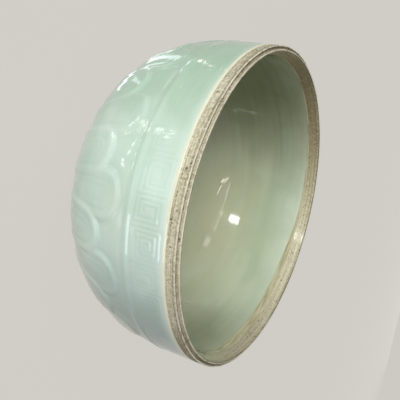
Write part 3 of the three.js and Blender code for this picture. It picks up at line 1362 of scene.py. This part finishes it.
@dataclass
class VesselForm:
    """Sizes of the vessel, as in its solids, and the paths that its pieces share.

    Args:
        lip_radius: outer radius of the lip.
        lip_height: height of the lip above the flat face of the foot.
        wall_end_height: height at which the outline of the wall would meet the axis.
        wall_swell: how far the wall stands out before it turns in.
        floor_thickness: clay between the cavity and the recess.
        cavity_swell: how far the cavity stands out before it turns in.
        bare_band: height of the band without glaze below the lip.
        ridge_width: width of the fine ridge at the outer edge of the lip.
        ridge_bevel: bevel on that ridge.
        groove_width: width of the groove inside the ridge.
        groove_depth: depth of the groove.
        land_width: width of the raised land inside the groove.
        land_rise: height of the land above the lip.
        land_inner_side: height of the land's inner side, above the bevel.
        bevel_run: how far in the bevel runs.
        bevel_drop: fall from the land to the foot of the bevel.
        foot_radius: radius of the foot ring where it leaves the wall.
        foot_taper: how much smaller the radius of its flat face is.
        foot_wall: width of that face.
        foot_fillet: size of the soft corner between wall and foot ring.
        bare_foot: height of the foot ring that has no glaze.
        recess_depth: depth of the recess inside the foot ring.
        glaze: thickness of a coat.
        foot_pitch: longest step down the side of the foot ring.
        recess_pitch: longest step down the side of the recess.
        roof_rows: steps across the roof of the recess.
        lip_corner: how much of each run a rounded corner of the lip takes.
        lip_pitch: longest step over the lip.
    """

    lip_radius: float = 62.5
    lip_height: float = 72.0
    wall_end_height: float = 1.4
    wall_swell: float = 2.4
    floor_thickness: float = 5.5
    cavity_swell: float = 2.4
    bare_band: float = 3.5
    ridge_width: float = 0.55
    ridge_bevel: float = 0.2
    groove_width: float = 0.85
    groove_depth: float = 0.35
    land_width: float = 0.7
    land_rise: float = 0.8
    land_inner_side: float = 0.7
    bevel_run: float = 1.5
    bevel_drop: float = 4.6
    foot_radius: float = 27.5
    foot_taper: float = 1.0
    foot_wall: float = 4.5
    foot_fillet: float = 2.5
    bare_foot: float = 1.5
    recess_depth: float = 4.0
    glaze: float = 0.6
    foot_pitch: float = 0.9
    recess_pitch: float = 0.6
    roof_rows: int = 8
    lip_corner: float = 0.16
    lip_pitch: float = 0.22

    def __post_init__(self) -> None:
        """Works out the sizes that follow from the others."""
        self.land_height = self.lip_height + self.land_rise
        self.land_inner = self.lip_radius - self.ridge_width - self.groove_width - self.land_width
        self.cavity_top = self.land_height - self.bevel_drop
        self.cavity_radius = self.land_inner - self.bevel_run
        self.foot_outer = self.foot_radius - self.foot_taper
        self.foot_inner = self.foot_outer - self.foot_wall
        self.outer = TurnedWall(
            self.lip_radius, self.wall_swell, self.lip_height, self.lip_height - self.wall_end_height
        )
        self.inner = TurnedWall(
            self.cavity_radius,
            self.cavity_swell,
            self.cavity_top,
            self.cavity_top - self.floor_thickness - self.recess_depth,
        )
        self.wall_end = self.outer.along_at_radius(self.foot_radius + self.foot_fillet)

    def outer_path(self, stops: np.ndarray, corner_rows: int = 6) -> Outline:
        """Outer surface down the wall, then over the fillet to the bare foot.

        Args:
            stops: distances down the wall.
            corner_rows: steps over the fillet.

        Returns:
            The path, with relief on the wall alone.
        """
        wall = self.outer.at(stops)
        end = self.outer.at(np.array([self.wall_end]))[0]
        corner = self.outer.at(np.array([self.outer.along_at_radius(self.foot_radius)]))[0]
        foot_top = np.array([self.foot_radius, corner[1] - self.foot_fillet / 2])
        bottom = np.array([[self.foot_outer, self.bare_foot]])
        side = refined(np.concatenate([foot_top[None], bottom]), self.foot_pitch)[1:]
        points = np.concatenate([wall, arc(end, corner, foot_top, corner_rows), side])
        along = np.concatenate([stops, np.full(len(points) - len(stops), np.nan)])
        return Outline.of(points, 1, along)

    def cavity_path(self, stops: np.ndarray) -> Outline:
        """Inner surface at stops along the cavity, from the bevel to the middle of the floor."""
        return Outline.of(self.inner.at(stops), -1, stops)

    def recess_path(self, corner_rows: int = 6) -> Outline:
        """Underside inside the foot ring, from its middle to the bare foot.

        Args:
            corner_rows: steps round the corner of the recess.

        Returns:
            The path.
        """
        half = self.foot_fillet / 2
        corner = np.array([self.foot_inner, self.recess_depth])
        bend = arc(corner - [half, 0], corner, corner - [0, half], corner_rows)
        reach = np.linspace(0, self.foot_inner - half, self.roof_rows + 1)[:-1]
        roof = np.stack([reach, np.full(self.roof_rows, self.recess_depth)], 1)
        side = refined(np.array([bend[-1], [self.foot_inner, self.bare_foot]]), self.recess_pitch)[1:]
        return Outline.of(np.concatenate([roof, bend, side]), -1)

    def lip_points(self) -> np.ndarray:
        """Bare lip, from the edge of the outer coat to the foot of the inner bevel.

        Returns:
            Radius and height of each stop.
        """
        ridge = self.lip_radius - self.ridge_width
        inner = ridge - self.groove_width
        floor = self.lip_height - self.groove_depth
        corners = [
            (self.lip_radius, self.lip_height - self.bare_band),
            (self.lip_radius, self.lip_height - self.ridge_bevel),
            (self.lip_radius - self.ridge_bevel, self.lip_height),
            (ridge, self.lip_height),
            (ridge, floor),
            (inner, floor),
            (inner, self.land_height),
            (self.land_inner, self.land_height),
            (self.land_inner, self.land_height - self.land_inner_side),
            (self.cavity_radius, self.cavity_top),
        ]
        return refined(softened(corners, self.lip_corner), self.lip_pitch)


def round_edged(face: Outline, rows: int, depth: float) -> Outline:
    """The face of a coat, with a round edge at the start of its path.

    Args:
        face: the face.
        rows: stops that the edge takes.
        depth: how far the edge falls.

    Returns:
        The face with its edge.
    """
    share = np.arange(rows) / rows
    drop = np.zeros(len(face.points))
    drop[:rows] = depth * (1 - np.sqrt(1 - (1 - share) ** 2))
    return face.sunk(drop)


@dataclass
class OuterCoat:
    """The glaze on the outside, with the fret band, the raised ring and the petals on its face.

    Args:
        form: the vessel.
        relief: what stands out of the coat or is cut into it.
        columns: facets round the axis.
        edge_rows: stops of the round edge.
        edge_step: distance between them.
        edge_depth: how far the edge falls.
        band_end: distance along at which the fret band and the ring end.
        tips_end: distance along at which the tips of the petals end.
        band_pitch: step down the band and the ring.
        tip_pitch: step down the tips.
        petal_pitch: step below them.
        rear_pitch: step down the rear.
        rear_rows: steps of the rear over the fillet.
    """

    form: VesselForm
    relief: WallRelief = field(default_factory=WallRelief)
    columns: int = 756
    edge_rows: int = 4
    edge_step: float = 0.1
    edge_depth: float = 0.4
    band_end: float = 22.4
    tips_end: float = 50.0
    band_pitch: float = 0.4
    tip_pitch: float = 0.8
    petal_pitch: float = 1.25
    rear_pitch: float = 12.0
    rear_rows: int = 2

    def outline(self) -> Outline:
        """Draws the coat, down its rear and up its face.

        Returns:
            The closed outline.
        """
        form, start, end = self.form, self.form.bare_band, self.form.wall_end
        edge = start + self.edge_step * np.arange(self.edge_rows)
        band = evenly(edge[-1] + self.edge_step, self.band_end, self.band_pitch)
        tips = evenly(self.band_end, self.tips_end, self.tip_pitch)
        petals = evenly(self.tips_end, end, self.petal_pitch)
        face = form.outer_path(np.concatenate([edge, band, tips, petals]))
        rear = form.outer_path(evenly(start, end, self.rear_pitch), self.rear_rows).sunk(form.glaze)
        return rear.plain() + round_edged(face, self.edge_rows, self.edge_depth).reversed()

    def build(self) -> bpy.types.Object:
        """Makes the coat, gives it its finish and sets it on the body.

        Returns:
            The coat.
        """
        mesh = TurnedMesh(
            "outer_celadon_coat",
            self.outline(),
            self.columns,
            True,
            rise=self.relief.rise,
            carved=self.relief.carved,
        )
        return dressed(mesh.build(), OUTER_CELADON.make(), Slot.OUTER_GLAZE, "outer_glaze")


@dataclass
class InnerCoat:
    """The glaze on the inside, over the faint rings that throwing left.

    Args:
        form: the vessel.
        columns: facets round the axis.
        edge_rows: stops of the round edge.
        edge_step: distance between them.
        edge_depth: how far the edge falls.
        rim_end: distance along at which the fine steps below the edge end.
        rim_pitch: those steps.
        pitch: step below them.
        rear_pitch: step down the rear.
        ring_size: height of the rings.
        ring_pitch: distance from one ring to the next, along one spiral.
        slow_pitch: length of the slower waves.
        slow_share: their height, as a share of the rings'.
        slow_phase: where they start, in radians.
        fine_size: height of the finer lines near the lip.
        fine_pitch: distance between those.
        fine_end: distances along at which they begin to fade and are gone.
        edge_fade: distances along at which the rings begin and are full.
        floor_fade: distances along at which they begin to flatten and are flattest.
        floor_share: how much lower they are there.
    """

    form: VesselForm
    columns: int = 504
    edge_rows: int = 4
    edge_step: float = 0.1
    edge_depth: float = 0.4
    rim_end: float = 10.0
    rim_pitch: float = 0.35
    pitch: float = 1.0
    rear_pitch: float = 9.0
    ring_size: float = 0.03
    ring_pitch: float = 5.0
    slow_pitch: float = 11.3
    slow_share: float = 0.8
    slow_phase: float = 1.1
    fine_size: float = 0.03
    fine_pitch: float = 1.9
    fine_end: tuple[float, float] = (3.0, 9.0)
    edge_fade: tuple[float, float] = (0.8, 2.2)
    floor_fade: tuple[float, float] = (60.0, 90.0)
    floor_share: float = 0.6

    def rise(self, angle: np.ndarray, along: np.ndarray) -> np.ndarray:
        """Height of the throwing rings.

        Args:
            angle: angles round the axis.
            along: distances down the cavity.

        Returns:
            The heights over the plain cavity.
        """
        spiral = along - angle / TURN * self.ring_pitch
        slow = self.slow_share * np.sin(along * TURN / self.slow_pitch + self.slow_phase)
        rings = np.sin(spiral * TURN / self.ring_pitch) + slow
        near_lip = 1 - smooth(*self.fine_end, along)
        fine = self.fine_size * np.sin(along * TURN / self.fine_pitch) * near_lip
        fade = 1 - smooth(*self.floor_fade, along) * self.floor_share
        return smooth(*self.edge_fade, along) * (self.ring_size * rings * fade + fine)

    def outline(self) -> Outline:
        """Draws the coat, from the middle of its rear to the middle of its face.

        Returns:
            The closed outline.
        """
        form, length = self.form, self.form.inner.length()
        edge = self.edge_step * np.arange(self.edge_rows)
        rim = evenly(edge[-1] + self.edge_step, self.rim_end, self.rim_pitch)
        wall = evenly(self.rim_end, length, self.pitch)
        face = form.cavity_path(np.concatenate([edge, rim, wall, [length]]))
        rear = form.cavity_path(np.concatenate([evenly(0, length, self.rear_pitch), [length]]))
        rear = rear.sunk(form.glaze).plain()
        return rear.reversed() + round_edged(face, self.edge_rows, self.edge_depth)

    def build(self) -> bpy.types.Object:
        """Makes the coat, gives it its finish and sets it on the body."""
        mesh = TurnedMesh("inner_celadon_coat", self.outline(), self.columns, False, rise=self.rise)
        return dressed(mesh.build(), INNER_CELADON.make(), Slot.INNER_GLAZE, "inner_glaze")


@dataclass
class FootCoat:
    """The glaze on the underside, inside the foot ring.

    Args:
        form: the vessel.
        columns: facets round the axis.
        edge_rows: stops of the round edge.
        edge_depth: how far the edge falls.
        rear_rows: steps of the rear round the corner of the recess.
    """

    form: VesselForm
    columns: int = 252
    edge_rows: int = 3
    edge_depth: float = 0.35
    rear_rows: int = 2

    def outline(self) -> Outline:
        """Draws the coat, from the middle of its face to the middle of its rear.

        Returns:
            The closed outline.
        """
        face = self.form.recess_path().reversed()
        face = round_edged(face, self.edge_rows, self.edge_depth).reversed()
        rear = self.form.recess_path(self.rear_rows).sunk(self.form.glaze)
        return face + rear.reversed()

    def build(self) -> bpy.types.Object:
        """Makes the coat, gives it its finish and sets it on the body."""
        mesh = TurnedMesh("foot_celadon_coat", self.outline(), self.columns, False)
        return dressed(mesh.build(), FOOT_CELADON.make(), Slot.FOOT_GLAZE, "foot_glaze")


@dataclass
class ClayBody:
    """The clay body after firing: foot ring, wall and bare stepped lip in one piece.

    Args:
        form: the vessel.
        columns: facets round the axis.
        line_size: depth of the turning lines on the lip, as a share of their waves.
        line_pitches: lengths of those waves.
        line_sway: least and greatest sway of a wave, in radians.
        line_start: distance along at which the lines are full.
        bevel: distances along at which the bevel starts and ends.
        ridge_pitch: distance between the ridges on the bevel.
        ridge_size: half their height.
        ridge_sway: how far they sway, in radians.
        ridge_start: how far down the bevel they are full.
        foot_corner: how much of each run a rounded corner of the foot takes.
        foot_pitch: longest step over the foot.
        hidden_pitch: step where glaze lies on the clay.
        hidden_rows: steps round the corners there.
    """

    form: VesselForm
    columns: int = 672
    line_size: float = 0.04
    line_pitches: tuple[float, ...] = (0.6, 0.86, 1.31, 2.1)
    line_sway: tuple[float, float] = (0.3, 0.7)
    line_start: float = 0.4
    bevel: tuple[float, float] = (7.9, 11.5)
    ridge_pitch: float = 1.3
    ridge_size: float = 0.05
    ridge_sway: float = 0.4
    ridge_start: float = 0.5
    foot_corner: float = 0.45
    foot_pitch: float = 0.5
    hidden_pitch: float = 6.0
    hidden_rows: int = 3

    def rise(self, angle: np.ndarray, along: np.ndarray) -> np.ndarray:
        """Height of the turning lines on the lip.

        Args:
            angle: angles round the axis.
            along: distances along the lip's own outline.

        Returns:
            The heights over the plain lip.
        """
        draw = np.random.default_rng(SEED + 6)
        total = np.zeros(np.broadcast(angle, along).shape)
        for pitch in self.line_pitches:
            phase, sway = draw.uniform(0, TURN), draw.uniform(*self.line_sway)
            drift = sway * np.sin(angle * draw.integers(1, 4) + phase)
            total = total + np.sin(along * TURN / pitch + phase + drift)
        lines = self.line_size * (np.clip(total / 2, -1.5, 1) - 1) * smooth(0.0, self.line_start, along)
        start, end = self.bevel
        sway = self.ridge_sway * np.sin(angle * 2)
        ridges = np.cos((along - start) * TURN / self.ridge_pitch + sway) - 1
        full = smooth(start, start + self.ridge_start, along)
        return lines + self.ridge_size * ridges * full * (along < end)

    def outline(self) -> Outline:
        """Draws the body, from the recess round to the cavity.

        Returns:
            The closed outline.
        """
        form, sink = self.form, self.form.glaze
        recess = form.recess_path(self.hidden_rows).sunk(sink)
        foot = [
            (form.foot_inner, form.bare_foot),
            (form.foot_inner, 0.0),
            (form.foot_outer, 0.0),
            (form.foot_outer, form.bare_foot),
        ]
        foot_ring = Outline.of(refined(softened(foot, self.foot_corner), self.foot_pitch), -1)
        wall_stops = evenly(form.bare_band, form.wall_end, self.hidden_pitch)
        wall = form.outer_path(wall_stops, self.hidden_rows).sunk(sink).plain()
        lip_points = form.lip_points()
        lip = Outline.of(lip_points, -1, lengths_along(lip_points))
        length = form.inner.length()
        cavity_stops = np.concatenate([evenly(0, length, self.hidden_pitch), [length]])
        cavity = form.cavity_path(cavity_stops).sunk(sink).plain()
        return recess + foot_ring + wall.reversed() + lip + cavity

    def build(self) -> bpy.types.Object:
        """Makes the body and gives it its finish."""
        mesh = TurnedMesh("bare_clay_body", self.outline(), self.columns, False, rise=self.rise)
        return dressed(mesh.build(), BISCUIT.make(), Slot.CLAY, "porcelain_body")


def dressed(
    piece: bpy.types.Object, material: bpy.types.Material, slot: Slot, node: str
) -> bpy.types.Object:
    """Gives a piece its material, sets it on the body and hides the solid that it replaces.

    Args:
        piece: the finished object.
        material: its material.
        slot: the record's slot of the piece; not used.
        node: the solid that it replaces.

    Returns:
        The piece.
    """
    piece.data.materials.append(material)
    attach(piece, "root")
    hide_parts(node)
    return piece


# The studio


def towards(turn: float, lift: float) -> Vector:
    """Direction at degrees from -Y towards +X and degrees above the floor."""
    turn, lift = math.radians(turn), math.radians(lift)
    return Vector((math.sin(turn) * math.cos(lift), -math.cos(turn) * math.cos(lift), math.sin(lift)))


@dataclass
class SoftLight:
    """A square or oblong soft lamp.

    Args:
        name: name of the lamp.
        place: where it is, in metres.
        turn: its rotation, where no rotation lets it shine down.
        size: its width and height.
        power: its strength in watts.
        colour: its colour.
        glossy: True where its reflection shows in the glaze.
        diffuse: True where it lights the surfaces, and not only shows in them.
    """

    name: str
    place: Vector
    turn: Euler
    size: tuple[float, float]
    power: float
    colour: Colour = (1.0, 1.0, 1.0)
    glossy: bool = True
    diffuse: bool = True

    @classmethod
    def around(
        cls, name: str, way: tuple[float, float], away: float, target: Vector, **more: object
    ) -> "SoftLight":
        """A lamp that stands away metres from a target, in the direction way, and looks at it."""
        out = towards(*way)
        return cls(name, target + out * away, (-out).to_track_quat("-Z", "Y").to_euler(), **more)

    @classmethod
    def strip(
        cls, name: str, ends: tuple[Vector, Vector], target: Vector, width: float, glow: float, colour: Colour
    ) -> "SoftLight":
        """Makes a strip that only shows in the glaze.

        Args:
            name: name of the strip.
            ends: where it starts and ends, in metres.
            target: what it looks at.
            width: its width in millimetres.
            glow: how bright it looks, where 1 is white.
            colour: its colour.

        Returns:
            The strip.
        """
        start, end = ends
        place, run = (start + end) / 2, end - start
        size = (run.length, width * MM)
        run.normalize()
        back = place - target
        back = (back - back.dot(run) * run).normalized()
        turn = Matrix((run, back.cross(run), back)).transposed().to_euler()
        power = glow * math.pi * size[0] * size[1]
        return cls(name, place, turn, size, power, colour, diffuse=False)

    def build(self) -> bpy.types.Object:
        """Makes the lamp.

        Returns:
            The lamp's object.
        """
        lamp = bpy.data.lights.new(self.name, "AREA")
        lamp.shape = "RECTANGLE"
        lamp.size, lamp.size_y = self.size
        lamp.energy = self.power
        lamp.color = self.colour
        made = bpy.data.objects.new(self.name, lamp)
        made.location = self.place
        made.rotation_euler = self.turn
        made.visible_camera = False
        made.visible_glossy = self.glossy
        made.visible_diffuse = self.diffuse
        bpy.context.scene.collection.objects.link(made)
        return made


@dataclass
class Studio:
    """Pale floor, soft light and the camera.

    Args:
        floor_size: side of the square floor, in metres.
        floor_gap: how far it lies under the foot, in metres.
        floor_colour: its colour as a surface.
        floor_pale: colour of its paler patches.
        room_colour: colour of the pale room that is seen and reflected.
        room_share: how much of it the floor shows there.
        room_strength: how bright it looks beyond the floor.
        world_colour: colour of the even light from all round.
        world_strength: strength of that light.
        middle: middle of the vessel, in metres.
        front: the place on its outer wall that one lamp looks at, in metres.
        strip_height: height of the low strips, in millimetres.
        blue: colour of the cool strips.
        warm: colour of the warm strips.
        spark: colour of the strips that show as sparks.
        camera_place: where the camera is, in metres.
        camera_axes: its right, up and back directions.
        camera_near: nearest distance that it shows, in metres.
        lens: its focal length in millimetres.
        sensor: width of its sensor in millimetres.
    """

    floor_size: float = 16.0
    floor_gap: float = 0.0003
    floor_colour: Colour = paint(150, 148, 144)
    floor_pale: Colour = paint(158, 156, 152)
    room_colour: Colour = paint(222, 219, 212)
    room_share: float = 0.82
    room_strength: float = 0.85
    world_colour: Colour = (0.93, 0.97, 1.0)
    world_strength: float = 0.06
    middle: Vector = field(default_factory=lambda: Vector((0.0, 0.0, 0.05)))
    front: Vector = field(default_factory=lambda: Vector((0.015, -0.062, 0.06)))
    strip_height: float = 3.0
    blue: Colour = (0.78, 0.92, 1.0)
    warm: Colour = (1.0, 0.93, 0.78)
    spark: Colour = (1.0, 0.97, 0.9)
    camera_place: Vector = field(default_factory=lambda: Vector((0.0, -0.1851, 0.1439)))
    camera_axes: tuple[tuple[float, float, float], ...] = (
        (-0.23575, 0.46691, 0.85229),
        (-0.97176, -0.10495, -0.21130),
        (-0.00921, -0.87805, 0.47848),
    )
    camera_near: float = 0.01
    lens: float = 45.0
    sensor: float = 36.0

    def soft_lamps(self) -> list[SoftLight]:
        """The lamps that light the vessel, and one that its outer wall reflects.

        Returns:
            The lamps.
        """
        broad = {"away": 1.5, "target": self.middle, "size": (0.8, 0.8), "glossy": False}
        made = [
            SoftLight.around(name, way, power=power, **broad)
            for name, way, power in (
                ("key", (-19, 28), 9.8),
                ("low", (-16, 4), 8.5),
                ("high", (-38, 46), 2.6),
                ("top", (20, 72), 0.6),
                ("rear_left", (-138, 4), 7.0),
                ("rear_right", (138, 4), 9.4),
                ("rear", (180, 12), 4.6),
                ("below", (-25, -35), 2.6),
            )
        ]
        window = {"size": (0.12, 0.42), "power": 2.6}
        lines = {"size": (0.08, 0.032), "power": 0.033, "colour": self.blue, "diffuse": False}
        made.append(SoftLight.around("window", (-15, 22), 1.0, self.middle, **window))
        made.append(SoftLight.around("lines", (36, -20), 0.15, self.front, **lines))
        return made

    def high_strips(self) -> list[SoftLight]:
        """The strips above the vessel, each between two directions from its middle.

        Returns:
            The strips.
        """
        made = []
        for name, ways, width, glow in (
            ("strand", ((23.0, 40.7), (-5.4, 50.9)), 64, 3.6),
            ("strand_end", ((-5.4, 50.9), (-39.0, 49.5)), 64, 3.6),
            ("strand_tip", ((-50.0, 49.4), (-62.0, 48.4)), 60, 3.0),
            ("stroke", ((31.0, 50.0), (24.0, 60.0)), 30, 12.0),
            ("second_stroke", ((20.0, 57.0), (8.0, 66.0)), 30, 12.0),
            ("spark", ((-14.0, 53.0), (-17.0, 54.0)), 26, 20.0),
            ("second_spark", ((-14.0, 45.0), (-17.0, 46.5)), 26, 20.0),
        ):
            ends = tuple(self.middle + towards(*way) for way in ways)
            made.append(SoftLight.strip(name, ends, self.middle, width, glow, self.warm))
        return made

    def low_strips(self) -> list[SoftLight]:
        """The strips just above the floor, which the outer wall reflects.

        Returns:
            The strips.
        """
        made = []
        for name, (x0, y0, x1, y1), width, glow, colour in (
            ("petals", (-58, -16, -98, -23), 8, 1.6, self.blue),
            ("petal_line", (-56, -27, -96, -36), 5, 1.6, self.blue),
            ("strands", (-40, -38, -54, -27), 4, 2.0, self.blue),
            ("loop", (-52, -41, -62, -54), 2, 1.5, self.blue),
            ("ring", (-104, -48, -94, -76), 5, 1.6, self.blue),
            ("fleck", (-131, -26, -123, -26), 7, 4.5, self.warm),
            ("second_fleck", (-149, -32, -143, -32), 5, 4.5, self.warm),
            *self.chain("arc", ((-40, -84), (-56, -98), (-60, -118), (-72, -143)), 8),
            *self.chain("second_arc", ((-50, -100), (-38, -104), (-24, -103), (-8, -99)), 9, 0.55),
            ("sheen", (-20, -150, 20, -160), 30, 1.0, self.blue),
            ("low_sheen", (35, -105, 60, -125), 16, 1.2, self.blue),
        ):
            ends = tuple(Vector((x, y, self.strip_height)) * MM for x, y in ((x0, y0), (x1, y1)))
            above = (ends[0] + ends[1]) / 2 + Vector((0.0, 0.0, 1.0))
            made.append(SoftLight.strip(name, ends, above, width, glow, colour))
        return made

    def chain(
        self, name: str, path: tuple[tuple[float, float], ...], count: int, size: float = 1.0
    ) -> list[tuple[str, tuple[float, float, float, float], float, float, Colour]]:
        """Short strips in a loose row along a path on the floor, which show as a row of sparks.

        Args:
            name: name of the strips.
            path: corners of the path, in millimetres.
            count: number of strips.
            size: how large they are, where 1 is 2.5 to 5 mm wide.

        Returns:
            For each strip its name, its ends, width, glow and colour.
        """
        draw = np.random.default_rng(SEED + len(name))
        corners = np.array(path, float)
        lengths = lengths_along(corners)
        row = []
        for i in range(count):
            stop = lengths[-1] * (i + 0.5) / count
            x, y = (np.interp(stop, lengths, corners[:, k]) + draw.uniform(-2, 2) for k in (0, 1))
            turn, half = draw.uniform(0, math.pi), draw.uniform(1.5, 4.0) * size
            dx, dy = half * math.cos(turn), half * math.sin(turn)
            ends = (x - dx, y - dy, x + dx, y + dy)
            width, glow = draw.uniform(2.5, 5.0) * size, draw.uniform(6, 16)
            row.append((f"{name}_{i}", ends, width, glow, self.spark))
        return row

    def floor_paint(self) -> bpy.types.Material:
        """Makes the floor's material, which is clear from below and lets the fill light up.

        Returns:
            The material.
        """
        g = Graph.named("floor_paint")
        weave = g.noise(g.place(), 6.0)
        soft = g.mix(weave.step(0.3, 0.7) * 0.15, self.floor_colour, self.floor_pale)
        matte = g.add("ShaderNodeBsdfDiffuse", inputs={"Color": soft})
        even = g.add("ShaderNodeEmission", inputs={"Color": self.room_colour})
        both = g.blend(g.seen() * self.room_share, matte, even)
        below = g.add("ShaderNodeNewGeometry", output="Backfacing")
        fill = g.add("ShaderNodeLightPath", output="Is Shadow Ray")
        clear = g.add("ShaderNodeBsdfTransparent")
        sheet = g.blend((below + fill).clamped(), both, clear)
        g.add("ShaderNodeOutputMaterial", inputs={"Surface": sheet})
        return g.owner

    def floor(self) -> bpy.types.Object:
        """Makes the floor, just under the foot.

        Returns:
            The floor's object.
        """
        half = self.floor_size / 2
        sides = ((-half, -half), (half, -half), (half, half), (-half, half))
        mesh = bpy.data.meshes.new("studio_floor")
        mesh.from_pydata([(x, y, -self.floor_gap) for x, y in sides], [], [(0, 1, 2, 3)])
        made = bpy.data.objects.new("studio_floor", mesh)
        bpy.context.scene.collection.objects.link(made)
        made.data.materials.append(self.floor_paint())
        return made

    def world(self) -> None:
        """Sets the even light from all round, and the pale room that is seen and reflected."""
        g = Graph(bpy.data.worlds.new("studio_world"))
        light, room = (
            g.add("ShaderNodeBackground", inputs={"Color": colour, "Strength": strength})
            for colour, strength in (
                (self.world_colour, self.world_strength),
                (self.room_colour, self.room_strength),
            )
        )
        g.add("ShaderNodeOutputWorld", inputs={"Surface": g.blend(g.seen(), light, room)})
        bpy.context.scene.world = g.owner

    def camera(self) -> bpy.types.Object:
        """Makes the camera, which is turned on its side as the photograph is.

        Returns:
            The camera's object.
        """
        data = bpy.data.cameras.new("camera")
        data.lens, data.sensor_width = self.lens, self.sensor
        data.clip_start = self.camera_near
        made = bpy.data.objects.new("camera", data)
        turn = Matrix(self.camera_axes).transposed().to_4x4()
        made.matrix_world = Matrix.Translation(self.camera_place) @ turn
        bpy.context.scene.collection.objects.link(made)
        bpy.context.scene.camera = made
        return made

    def build(self) -> None:
        """Makes the whole studio."""
        self.camera()
        self.floor()
        self.world()
        lamps = [*self.soft_lamps(), *self.high_strips(), *self.low_strips()]
        for lamp in lamps:
            lamp.build()
        bpy.context.scene.view_settings.view_transform = "Standard"
        LOG.info("studio: floor, %d lamps, camera", len(lamps))


def main() -> None:
    """Builds the studio and the vessel's pieces in order."""
    logging.basicConfig(level=logging.INFO, format="%(message)s")
    Studio().build()
    form = VesselForm()
    for part in (ClayBody(form), OuterCoat(form), InnerCoat(form), FootCoat(form)):
        piece = part.build()
        LOG.info("%s: %d faces", piece.name, len(piece.data.polygons))


if __name__ == "__main__":
    main()
